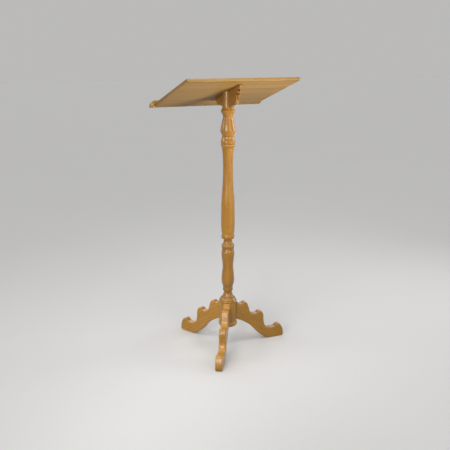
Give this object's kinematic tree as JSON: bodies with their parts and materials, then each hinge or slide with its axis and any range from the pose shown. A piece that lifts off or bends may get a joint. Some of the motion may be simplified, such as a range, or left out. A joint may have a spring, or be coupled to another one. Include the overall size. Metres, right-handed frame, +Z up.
{
  "type": "lectern",
  "caption": "Standing wooden lectern: turned column on scroll-sawn tripod legs, with a sloping staved book desk and ledge that turns on the column's head.",
  "frame": {"origin": "on the floor under the column's axis", "axes": "+Z up the column; one leg points along -X and the other two to either side of +X; the reader stands on the -Y side and the desk's high edge is on the +Y side"},
  "size_m": [0.5988, 0.5202, 1.2621],
  "materials": {
    "turned_wood": "satin honey lacquer on turned wood",
    "sawn_wood": "satin honey lacquer on sawn wood",
    "board_wood": "thin satin lacquer on edge-glued staves",
    "dowel_wood": "bare beech dowel",
    "screw_steel": "plain steel wood screw"
  },
  "bodies": {
    "stand": {"column_lower": "turned_wood", "column_upper": "turned_wood", "base_cap": "turned_wood", "cap_screw": "screw_steel", "leg_front": "sawn_wood", "leg_left": "sawn_wood", "leg_back": "sawn_wood"},
    "desk": {"head_block": "turned_wood", "wing_high": "sawn_wood", "wing_low": "sawn_wood", "wing_dowel_1": "dowel_wood", "wing_dowel_2": "dowel_wood", "wing_dowel_3": "dowel_wood", "wing_dowel_4": "dowel_wood", "board_screw_high": "screw_steel", "board_screw_low": "screw_steel", "stave_1": "board_wood", "stave_2": "board_wood", "stave_3": "board_wood", "stave_4": "board_wood", "stave_5": "board_wood", "book_ledge": "board_wood", "ledge_dowel_1": "dowel_wood", "ledge_dowel_2": "dowel_wood", "ledge_dowel_3": "dowel_wood", "ledge_dowel_4": "dowel_wood"}
  },
  "joints": [
    {"name": "desk_swivel", "type": "hinge", "parent": "stand", "child": "desk", "pos_m": [0, 0, 1.129], "axis": [0, 0, 1], "continuous": true}
  ]
}
